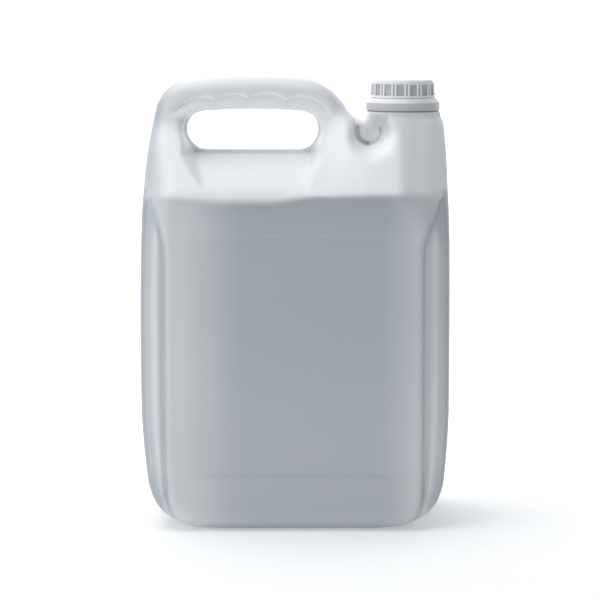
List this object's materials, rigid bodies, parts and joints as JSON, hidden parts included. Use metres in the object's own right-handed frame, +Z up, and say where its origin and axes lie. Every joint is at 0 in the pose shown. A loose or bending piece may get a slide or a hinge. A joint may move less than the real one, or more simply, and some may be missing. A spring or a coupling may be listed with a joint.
{
  "type": "handled plastic jug",
  "caption": "Rectangular blow-moulded plastic jug with a looped carrying handle, a side neck and a ribbed screw cap with a tamper ring.",
  "frame": {"origin": "middle of the base, on the surface it stands on", "axes": "+Z up, +X across the front towards the neck, +Y from the front panel to the back panel"},
  "size_m": [0.198, 0.128, 0.2887],
  "materials": {
    "jug": "satin natural polyethylene, slightly translucent",
    "closure": "semi-gloss white",
    "liner": "matt foam"
  },
  "bodies": {
    "jug": {"jug_body": "jug", "tamper_ring": "closure"},
    "liner": {"cap_liner": "liner"},
    "cap": {"screw_cap": "closure"}
  },
  "joints": [
    {"name": "cap_lift", "type": "slide", "parent": "jug", "child": "liner", "axis": [0, 0, 1], "range_m": [0, 0.0321]},
    {"name": "cap_turn", "type": "hinge", "parent": "liner", "child": "cap", "pos_m": [0.07, 0, 0.28], "axis": [0, 0, 1], "range_deg": [0, 3600]}
  ],
  "couplings": [
    {"joint": "cap_lift", "follows": "cap_turn", "m_per_rad": 0.0005093}
  ]
}
